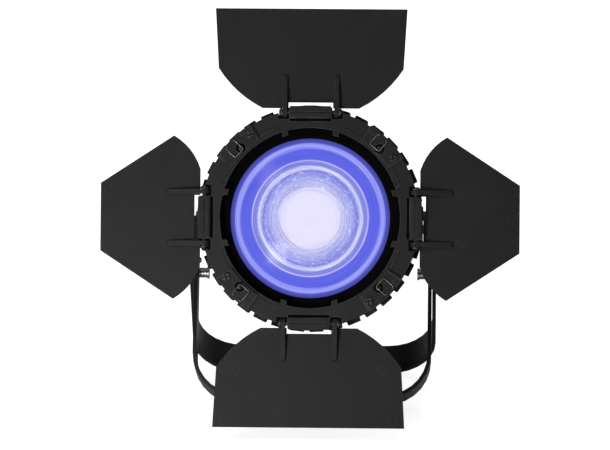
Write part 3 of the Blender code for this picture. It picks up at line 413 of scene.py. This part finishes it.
def add_piece(name, bm, body, material, matrix=None, bevel_mm=0.0):
    """The mesh, in millimetres in the head's frame, as a piece that moves with a body."""
    bmesh.ops.recalc_face_normals(bm, faces=bm.faces[:])
    bmesh.ops.scale(bm, vec=(MM, MM, MM), verts=bm.verts[:])
    mesh = bpy.data.meshes.new(name)
    bm.to_mesh(mesh)
    bm.free()
    mesh.materials.append(material)
    mesh.shade_smooth()
    mesh.set_sharp_from_angle(angle=math.radians(32))
    obj = bpy.data.objects.new(name, mesh)
    bpy.context.scene.collection.objects.link(obj)
    obj.matrix_world = HEAD if matrix is None else matrix
    if bevel_mm:
        round_edges(obj, bevel_mm)
    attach(obj, body)
    return obj


def round_edges(obj, width_mm, segments=2):
    bevel = obj.modifiers.new("Edges", "BEVEL")
    bevel.width = width_mm * MM
    bevel.segments = segments
    bevel.limit_method = "ANGLE"
    bevel.angle_limit = math.radians(32)
    bevel.harden_normals = True


def turned(profile, steps=96, bm=None):
    """Solid of revolution about Y. The closed profile's points are (radius, y)."""
    bm = bm or bmesh.new()
    rings = []
    for radius, y in profile:
        if radius == 0:
            rings.append([bm.verts.new((0, y, 0))] * steps)
            continue
        ring = [polar(radius, 360 * i / steps) for i in range(steps)]
        rings.append([bm.verts.new((x, y, z)) for x, z in ring])
    for first, second in zip(rings, rings[1:] + rings[:1]):
        for i in range(steps):
            j = (i + 1) % steps
            corners = list(dict.fromkeys((first[i], first[j], second[j], second[i])))
            if len(corners) > 2:
                bm.faces.new(corners)
    return bm


def slab(outline, low, high, bm=None):
    """Solid from y = low to y = high over the (x, z) outline."""
    bm = bm or bmesh.new()
    near = [bm.verts.new((x, low, z)) for x, z in outline]
    far = [bm.verts.new((x, high, z)) for x, z in outline]
    bm.faces.new(near)
    bm.faces.new(list(reversed(far)))
    for i in range(len(outline)):
        j = (i + 1) % len(outline)
        bm.faces.new((near[i], near[j], far[j], far[i]))
    return bm


def sector(inner, outer, start, end, steps=10):
    """Outline of a piece of a ring."""
    angles = [start + (end - start) * i / steps for i in range(steps + 1)]
    return [polar(outer, a) for a in angles] + [polar(inner, a) for a in reversed(angles)]


def shifted(bm, x, y, z, turn=0.0):
    """The mesh turned about Y by this many degrees, +Z towards +X, and then moved."""
    matrix = Matrix.Translation((x, y, z)) @ Matrix.Rotation(math.radians(turn), 4, "Y")
    bmesh.ops.transform(bm, matrix=matrix, verts=bm.verts[:])
    return bm


# ---------------------------------------------------------------- settings


class SpotFinishSettings(bpy.types.PropertyGroup):
    """Colours of the spotlight's finishes."""

    moulding: bpy.props.FloatVectorProperty(
        name="Moulding",
        description="Colour of the leaves, the ring and the knobs",
        subtype="COLOR",
        size=3,
        default=(0.0085, 0.0080, 0.0074),
        min=0,
        max=1,
    )
    paint: bpy.props.FloatVectorProperty(
        name="Paint",
        description="Colour of the powder-coated yokes and housing",
        subtype="COLOR",
        size=3,
        default=(0.011, 0.0108, 0.0108),
        min=0,
        max=1,
    )
    # Colour of the edge band: rubbed wear, and on the moulding also a painted edge highlight.
    worn_and_highlit: bpy.props.FloatVectorProperty(
        name="Worn edges",
        description="Colour of rubbed edges",
        subtype="COLOR",
        size=3,
        default=(0.11, 0.104, 0.10),
        min=0,
        max=1,
    )
    glow: bpy.props.FloatProperty(
        name="Glow", description="Brightness of the lit lens", default=1.0, min=0, max=20
    )


class SpotDetailSettings(bpy.types.PropertyGroup):
    """Sizes of the fine pieces."""

    lens_grooves: bpy.props.IntProperty(
        name="Lens grooves", description="Steps in the lens", default=26, min=4, max=60
    )
    lip_height: bpy.props.FloatProperty(
        name="Lip height",
        description="Height of the lip round the beam opening, in millimetres",
        default=0.7,
        min=0.1,
        max=2,
    )
    edge_round: bpy.props.FloatProperty(
        name="Edge rounding",
        description="Radius that softens the edges of moulded parts, in millimetres",
        default=0.35,
        min=0.05,
        max=1,
    )
    screw_head: bpy.props.FloatProperty(
        name="Screw head",
        description="Radius of the clip screws' heads, in millimetres",
        default=2.65,
        min=1,
        max=4,
    )


class SpotStageSettings(bpy.types.PropertyGroup):
    """Floor, light and camera."""

    floor: bpy.props.FloatVectorProperty(
        name="Floor",
        description="Colour of the floor",
        subtype="COLOR",
        size=3,
        default=(0.93, 0.93, 0.93),
        min=0,
        max=1,
    )
    floor_lift: bpy.props.FloatProperty(
        name="Floor lift",
        description="Extra brightness that only the camera sees",
        default=0.8,
        min=0,
        max=2,
    )
    surround: bpy.props.FloatProperty(
        name="Surround",
        description="Brightness of the soft surround",
        default=0.26,
        min=0,
        max=10,
    )
    key: bpy.props.FloatProperty(
        name="Key light",
        description="Power of the key light, in watts",
        default=8.0,
        min=0,
        max=500,
    )
    distance: bpy.props.FloatProperty(
        name="Camera distance",
        description="From the front of the ring to the camera",
        default=3.0,
        min=0.5,
        max=20,
        unit="LENGTH",
    )
    framed_width: bpy.props.FloatProperty(
        name="Framed width",
        description="Width that the picture covers at the front of the ring",
        default=0.3904,
        min=0.1,
        max=5,
        unit="LENGTH",
    )


def moulding_finish():
    finish = bpy.context.scene.spot_finish
    return moulded_plastic("moulding", tuple(finish.moulding), tuple(finish.worn_and_highlit))


def leaf_finish():
    finish = bpy.context.scene.spot_finish
    colour = shaded(finish.moulding, 1.1)
    return moulded_plastic(
        "leaf_moulding", colour, tuple(finish.worn_and_highlit), 1300.0, 0.035, (0.5, 0.7), 0.35
    )


def paint_finish():
    finish = bpy.context.scene.spot_finish
    return powder_coat("powder_coat", tuple(finish.paint), tuple(finish.worn_and_highlit))


def trap_and_recess_shade_finish():
    return light_trap("light_trap", (0.003, 0.003, 0.0035))


def zinc_finish():
    return bare_metal("zinc_plate", (0.62, 0.62, 0.60))


def black_screw_finish():
    return bare_metal("black_oxide", (0.11, 0.105, 0.10), (0.3, 0.5))


def spring_finish():
    return bare_metal("spring_steel", (0.16, 0.155, 0.15), (0.35, 0.5))


def aluminium_finish():
    return bare_metal("brushed_aluminium", (0.60, 0.61, 0.63), (0.3, 0.45))


def rubber_finish():
    finish = bpy.context.scene.spot_finish
    return moulded_plastic(
        "rubber", tuple(finish.moulding), tuple(finish.worn_and_highlit), 600.0, 0.03, (0.7, 0.9), 0.1
    )


CLEAR_LENS_R = 51.3
SLOT_FINISHES = {
    "black_paint": paint_finish,
    "black_moulding": moulding_finish,
    "matte_black": trap_and_recess_shade_finish,
    "steel": zinc_finish,
    "black_screw": black_screw_finish,
    "aluminium": aluminium_finish,
    "lens": lambda: lit_lens("lit_lens", CLEAR_LENS_R, bpy.context.scene.spot_finish.glow),
    "board": lambda: circuit_board("circuit_board", (0.02, 0.11, 0.05)),
    "rubber": rubber_finish,
    "display": lambda: smooth_gloss("smoked_window", (0.012, 0.014, 0.02)),
}


# Nodes whose finish differs from the rest of their slot, by the first two words of their names.
NODE_FINISHES = {
    "leaf_top": leaf_finish,
    "leaf_right": leaf_finish,
    "leaf_bottom": leaf_finish,
    "leaf_left": leaf_finish,
    "clip_wire": spring_finish,
}


# ---------------------------------------------------------------- operators


class SPOT_OT_finish_parts(bpy.types.Operator):
    """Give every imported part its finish, smooth its round faces and soften its edges"""

    bl_idname = "spot.finish_parts"
    bl_label = "Finish packed parts"

    def execute(self, context):
        slots = {entry["node"]: entry["material_slot"] for entry in frame["record"]["subparts"]}
        for node, obj in frame["nodes"].items():
            slot = slots[node]
            kind = "_".join(node.split("_")[:2])
            material = NODE_FINISHES.get(kind, SLOT_FINISHES[slot])()
            obj.data.materials.clear()
            obj.data.materials.append(material)
            self.smooth(obj, context.scene.spot_detail.edge_round, slot)
        return {"FINISHED"}

    def smooth(self, obj, rounding, slot):
        """Joins the mesh's faces, shades round faces smooth and rounds sharp edges."""
        mesh = obj.data
        if "custom_normal" in mesh.attributes:
            mesh.attributes.remove(mesh.attributes["custom_normal"])
        for edge in mesh.edges:
            edge.use_edge_sharp = False
        mesh.shade_smooth()
        weld = obj.modifiers.new("Weld", "WELD")
        weld.merge_threshold = 0.00001
        if slot in ("black_paint", "black_moulding"):
            round_edges(obj, rounding)
        else:
            round_edges(obj, 0.12, 1)


class SPOT_OT_lens(bpy.types.Operator):
    """Cut the lens's fine steps"""

    bl_idname = "spot.lens"
    bl_label = "Stepped lens"

    def execute(self, context):
        grooves = context.scene.spot_detail.lens_grooves
        front = front_of("fresnel_lens")
        back = back_of("fresnel_lens")
        rim = reach_of("fresnel_lens")
        clear = rim - 3.3
        middle = 0.16 * clear
        width = (clear - middle) / grooves
        profile = [(0, front + 0.25), (0.6 * middle, front + 0.35), (middle, front + 0.75)]
        for groove in range(grooves):
            inner = middle + groove * width
            profile += [(inner + 0.12 * width, front + 0.1)]
            profile += [(inner + width, front + 0.25 + 0.5 * groove / grooves)]
        edge = rim - 0.1
        profile += [(clear + 0.2, front + 1.5), (edge, front + 1.5), (edge, back), (0, back)]
        material = SLOT_FINISHES["lens"]()
        lens = add_piece("stepped_lens", turned(profile, 128), "lens", material)
        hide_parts("fresnel_lens")
        return {"FINISHED"}


# Ring details, in millimetres and in degrees from the middle of a clip block.
LIP_RADII = (60.6, 61.4)
LIP_TICK_RADII = (58.8, 60.4)
LIP_FROM, LIP_TO = 12.4, 25.5
RIM_HEIGHT = 0.35
RIM_BARS = (
    (59.9, 70.9, -11.6, -10.9, 2),
    (59.9, 70.9, 10.9, 11.6, 2),
    (68.0, 70.9, -10.7, -4.4, 4),
    (66.8, 70.9, 7.2, 10.7, 3),
)
BARREL_HALF = 13.2
BARREL_ROWS = ((65.0, 67.4, 0.55), (67.9, 71.7, 0.8))


class SPOT_OT_ring(bpy.types.Operator):
    """Add the barn-door ring's lips, clip plates and knuckle barrels"""

    bl_idname = "spot.ring"
    bl_label = "Ring details"

    def execute(self, context):
        material = moulding_finish()
        points = node_points("barn_door_ring")
        clip_front = min(point.y for point in points)
        face = clip_front + 2.0
        lip = context.scene.spot_detail.lip_height
        for name, middle in CLIP_ANGLES.items():
            self.add_lips(name, middle, face, lip, material)
            self.add_clip_plate(name, middle, clip_front, material)
        for name, middle in STATION_ANGLES.items():
            self.add_barrel(name, middle, clip_front, material)
        return {"FINISHED"}

    def add_lips(self, name, middle, face, lip, material):
        """Two thin lips beside a clip block, each with a short return at its hinge end."""
        bm = bmesh.new()
        for sign in (-1, 1):
            start, end = middle + sign * LIP_FROM, middle + sign * LIP_TO
            long_lip = sector(*LIP_RADII, min(start, end), max(start, end))
            slab(long_lip, face - lip, face - 0.05, bm)
            tick = end - sign * 0.6
            slab(sector(*LIP_TICK_RADII, tick - 0.4, tick + 0.4, 1), face - lip, face - 0.05, bm)
        add_piece(
            f"opening_lip_{name}", bm, "barn_door", material, bevel_mm=0.15
        )

    def add_clip_plate(self, name, middle, clip_front, material):
        """Frame round the stud hole, open towards the outside, and a step beside the screw."""
        bm = bmesh.new()
        top = clip_front - 0.05
        for inner, outer, start, end, steps in RIM_BARS:
            bar = sector(inner, outer, middle + start, middle + end, steps)
            slab(bar, top - RIM_HEIGHT, top, bm)
        add_piece(
            f"clip_rim_{name}", bm, "barn_door", material, bevel_mm=0.12
        )

    def add_barrel(self, name, middle, clip_front, material):
        """Rounded cover over a hinge knuckle, with a groove along it."""
        bm = bmesh.new()
        front = clip_front + 0.35
        half = BARREL_HALF
        for low, high, rise in BARREL_ROWS:
            outline = [(-half, low), (half, low), (half, high), (-half, high)]
            slab(outline, front - rise, front - 0.05, bm)
        shifted(bm, 0, 0, 0, 90 - middle)
        add_piece(
            f"knuckle_cover_{name}", bm, "barn_door", material, bevel_mm=0.4
        )


SHANK_R = 1.2
CROSS_TURN = 14  # degrees from upright


class SPOT_OT_clip_screws(bpy.types.Operator):
    """Replace the clip screws with ones that have a cross recess"""

    bl_idname = "spot.clip_screws"
    bl_label = "Clip screws"

    def execute(self, context):
        radius = context.scene.spot_detail.screw_head
        for name in CLIP_ANGLES:
            node = f"clip_screw_{name}"
            points = node_points(node)
            x = sum(point.x for point in points) / len(points)
            z = sum(point.z for point in points) / len(points)
            low = min(point.y for point in points)
            high = max(point.y for point in points)
            screw = self.build(name, radius, x, z, low, high)
            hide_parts(node)
        return {"FINISHED"}

    def build(self, name, radius, x, z, low, high):
        """Pan head whose cross is a recess between four raised quarters, its floor near black as
        painted shade.
        """
        recess = low + 0.75
        under = low + 1.6
        profile = [(0, recess), (radius - 0.1, recess), (radius, under)]
        profile += [(SHANK_R, under), (SHANK_R, high), (0, high)]
        bm = turned(profile, 28)
        # The turned core, with the cross's floor, takes the second, near-black material: painted
        # shade in the recess.
        for face in bm.faces:
            face.material_index = 1
        for quarter in range(4):
            middle = 90 * quarter + 45 + CROSS_TURN
            outline = sector(0.62, radius - 0.55, middle - 29, middle + 29, 4)
            slab(outline, low + 0.05, low + 0.8, bm)
            start = 90 * quarter + CROSS_TURN
            outline = sector(radius - 0.6, radius - 0.15, start, start + 90, 6)
            slab(outline, low + 0.35, low + 0.8, bm)
        shifted(bm, x, 0, z)
        material = black_screw_finish()
        screw = add_piece(
            f"cross_screw_{name}", bm, "barn_door", material, bevel_mm=0.15
        )
        # Near-black second material: painted shade in the cross recess.
        screw.data.materials.append(trap_and_recess_shade_finish())
        return screw


# Ejector marks: their rings' radii, and how far out the outer ones are across a leaf.
MARK_RADII = (2.45, 2.85)
WIDE_ACROSS, NARROW_ACROSS = 54.0, 17.0
LEAF_THICK = 1.8


class SPOT_OT_leaf_marks(bpy.types.Operator):
    """Add the ejector marks of the leaves"""

    bl_idname = "spot.leaf_marks"
    bl_label = "Leaf details"

    def execute(self, context):
        material = leaf_finish()
        for side, middle in STATION_ANGLES.items():
            points = node_points(f"leaf_{side}")
            outward = polar(1, middle)
            reach = max(point.x * outward[0] + point.z * outward[1] for point in points)
            face = max(point.y for point in points) - LEAF_THICK
            across = WIDE_ACROSS if side in ("top", "bottom") else NARROW_ACROSS
            spots = [(-across, reach - 5), (0, reach - 5), (across, reach - 5)]
            spots += [(-0.86 * across, reach - 37), (0.86 * across, reach - 37), (0, reach - 56)]
            inner, outer = MARK_RADII
            low, high = face - 0.12, face - 0.01
            bm = bmesh.new()
            for along, out in spots:
                mark = turned([(inner, low), (outer, low), (outer, high), (inner, high)], 24)
                shifted(mark, along, 0, out)
                self.copy(mark, bm)
            shifted(bm, 0, 0, 0, 90 - middle)
            add_piece(
                f"ejector_marks_{side}", bm, f"door_{side}", material
            )
        return {"FINISHED"}

    def copy(self, source, target):
        made = {vertex: target.verts.new(vertex.co) for vertex in source.verts}
        for face in source.faces:
            target.faces.new([made[vertex] for vertex in face.verts])
        source.free()


BEZEL_WIDTH = 1.8
BEZEL_CLEAR = 0.5
BEZEL_HEIGHT = 0.9
COVER_SCREWS_AT_R = 57.5
COVER_SCREW_ANGLES = (25, 155, 205, 335)


class SPOT_OT_rear(bpy.types.Operator):
    """Add the rear panel's bezel and screws"""

    bl_idname = "spot.rear"
    bl_label = "Rear panel details"

    def execute(self, context):
        panel = back_of("rear_cover")
        window = node_points("display_window")
        half_x = max(point.x for point in window) + BEZEL_CLEAR
        low_z = min(point.z for point in window) - BEZEL_CLEAR
        high_z = max(point.z for point in window) + BEZEL_CLEAR
        outer_x = half_x + BEZEL_WIDTH
        bottom, top = low_z - BEZEL_WIDTH, high_z + BEZEL_WIDTH
        bm = bmesh.new()
        bars = ((-outer_x, -half_x, bottom, top), (half_x, outer_x, bottom, top))
        bars += ((-half_x, half_x, bottom, low_z), (-half_x, half_x, high_z, top))
        for x0, x1, z0, z1 in bars:
            outline = [(x0, z0), (x1, z0), (x1, z1), (x0, z1)]
            slab(outline, panel + 0.02, panel + BEZEL_HEIGHT, bm)
        finish = moulding_finish()
        add_piece("display_bezel", bm, "head", finish, bevel_mm=0.25)
        section = ((0, 0.5), (0, 0.02), (2.8, 0.02), (2.7, 1.3), (1.2, 1.8), (1.0, 0.5))
        for number, angle in enumerate(COVER_SCREW_ANGLES, 1):
            x, z = polar(COVER_SCREWS_AT_R, angle)
            bm = turned([(radius, panel + rise) for radius, rise in section], 24)
            shifted(bm, x, 0, z)
            material = black_screw_finish()
            add_piece(f"cover_screw_{number}", bm, "head", material)
        return {"FINISHED"}


RIVET_ABOVE_HINGE = 8.5


class SPOT_OT_yoke_stops(bpy.types.Operator):
    """Add the small stop rivets above the leg hinges"""

    bl_idname = "spot.yoke_stops"
    bl_label = "Yoke stop rivets"

    def execute(self, context):
        hinge = Vector(JOINTS["rear_leg_fold"]["pos_m"])
        pivot = Vector(JOINTS["head_tilt"]["pos_m"])
        place = hinge + (pivot - hinge).normalized() * RIVET_ABOVE_HINGE * MM
        for side, sign in (("left", -1), ("right", 1)):
            low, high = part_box(f"leg_nut_{side}")
            inner = max(abs(low.x), abs(high.x)) / MM - 0.02
            profile = [(0, inner - 1.5), (1.3, inner - 1.3), (1.9, inner - 0.7)]
            profile += [(1.9, inner), (0, inner)]
            bm = turned(profile, 20)
            matrix = Matrix.Translation(place) @ Matrix.Rotation(math.radians(-90 * sign), 4, "Z")
            add_piece(f"stop_rivet_{side}", bm, "stand", zinc_finish(), matrix)
        return {"FINISHED"}


# Area lights: name, place, size in metres, and share of the key light's power.
LIGHTS = (
    ("key_light", (-0.9, -1.3, 1.5), 0.45, 1.0),
    ("low_light", (-0.25, -0.62, 0.06), 0.12, 0.25),
    ("rim_light", (0.2, 1.3, 1.2), 0.8, 0.6),
)
LIT_POINT = (0, 0, 0.12)
FLOOR_HALF = 12  # metres
FLOOR_DROP = 0.0003
CAMERA_OFF_AXIS = 1.65  # degrees
CAMERA_AIM = (0.00294, 0.0046)  # metres left of the ring's middle, and below it


class SPOT_OT_stage(bpy.types.Operator):
    """Lay the floor, set the soft light and place the camera"""

    bl_idname = "spot.stage"
    bl_label = "Studio stage"

    def execute(self, context):
        settings = context.scene.spot_stage
        self.lay_floor(settings)
        self.light(context.scene, settings)
        self.place_camera(context.scene, settings)
        context.scene.view_settings.view_transform = "Standard"
        return {"FINISHED"}

    def lay_floor(self, settings):
        bm = bmesh.new()
        bmesh.ops.create_grid(bm, x_segments=1, y_segments=1, size=FLOOR_HALF)
        mesh = bpy.data.meshes.new("floor")
        bm.to_mesh(mesh)
        bm.free()
        floor = bpy.data.objects.new("floor", mesh)
        bpy.context.scene.collection.objects.link(floor)
        floor.location.z = -FLOOR_DROP
        shader = Shader("studio_floor")
        cloud = shader.noise(2.0, 2.0)
        shader.base(shader.blend(cloud, shaded(settings.floor, 0.99), tuple(settings.floor)))
        shader.join(shader.remap(cloud, 0.3, 0.7, 0.75, 0.85), shader.bsdf.inputs["Roughness"])
        shader.bsdf.inputs["Specular IOR Level"].default_value = 0.1
        shader.bsdf.inputs["Emission Color"].default_value = (1, 1, 1, 1)
        seen = shader.node("LightPath").outputs["Is Camera Ray"]
        lift = shader.math("MULTIPLY", seen, settings.floor_lift)
        shader.join(lift, shader.bsdf.inputs["Emission Strength"])
        mesh.materials.append(shader.material)

    def light(self, scene, settings):
        world = bpy.data.worlds.new("soft_surround")
        world.use_nodes = True
        background = world.node_tree.nodes["Background"]
        background.inputs["Color"].default_value = (1, 1, 1, 1)
        background.inputs["Strength"].default_value = settings.surround
        scene.world = world
        for name, place, size, share in LIGHTS:
            data = bpy.data.lights.new(name, "AREA")
            data.size = size
            data.energy = share * settings.key
            lamp = bpy.data.objects.new(name, data)
            scene.collection.objects.link(lamp)
            lamp.location = place
            way = Vector(LIT_POINT) - lamp.location
            lamp.rotation_euler = way.to_track_quat("-Z", "Y").to_euler()

    def place_camera(self, scene, settings):
        """A little to the right of the optical axis and a little below it."""
        off_axis = math.radians(CAMERA_OFF_AXIS)
        across, back, up = (HEAD.col[i].xyz for i in range(3))
        middle = HEAD @ Vector((0, front_of("leaf_top") * MM, 0))
        aim = middle - across * CAMERA_AIM[0] - up * CAMERA_AIM[1]
        way = across * math.sin(off_axis) - up * math.sin(off_axis) - back * math.cos(off_axis)
        data = bpy.data.cameras.new("camera")
        data.sensor_width = 36
        data.lens = 36 * settings.distance / settings.framed_width
        data.clip_end = 50
        camera = bpy.data.objects.new("camera", data)
        scene.collection.objects.link(camera)
        camera.location = middle + way * settings.distance
        camera.rotation_euler = (aim - camera.location).to_track_quat("-Z", "Y").to_euler()
        scene.camera = camera


SETTINGS = {
    "spot_finish": SpotFinishSettings,
    "spot_detail": SpotDetailSettings,
    "spot_stage": SpotStageSettings,
}
OPERATORS = (
    SPOT_OT_finish_parts,
    SPOT_OT_lens,
    SPOT_OT_ring,
    SPOT_OT_clip_screws,
    SPOT_OT_leaf_marks,
    SPOT_OT_rear,
    SPOT_OT_yoke_stops,
    SPOT_OT_stage,
)


class SPOT_PT_panel(bpy.types.Panel):
    """The spotlight's settings and steps."""

    bl_idname = "SPOT_PT_panel"
    bl_label = "Spotlight"
    bl_space_type = "VIEW_3D"
    bl_region_type = "UI"
    bl_category = "Spotlight"

    def draw(self, context):
        for group, kind in SETTINGS.items():
            settings = getattr(context.scene, group)
            box = self.layout.box()
            for name in kind.__annotations__:
                box.prop(settings, name)
        for operator in OPERATORS:
            self.layout.operator(operator.bl_idname)


def register():
    for kind in (*SETTINGS.values(), *OPERATORS, SPOT_PT_panel):
        bpy.utils.register_class(kind)
    for name, kind in SETTINGS.items():
        setattr(bpy.types.Scene, name, bpy.props.PointerProperty(type=kind))


def unregister():
    for name in SETTINGS:
        delattr(bpy.types.Scene, name)
    for kind in (SPOT_PT_panel, *reversed(OPERATORS), *reversed(SETTINGS.values())):
        bpy.utils.unregister_class(kind)


def main():
    register()
    for operator in OPERATORS:
        area, name = operator.bl_idname.split(".")
        getattr(getattr(bpy.ops, area), name)()


if __name__ == "__main__":
    main()
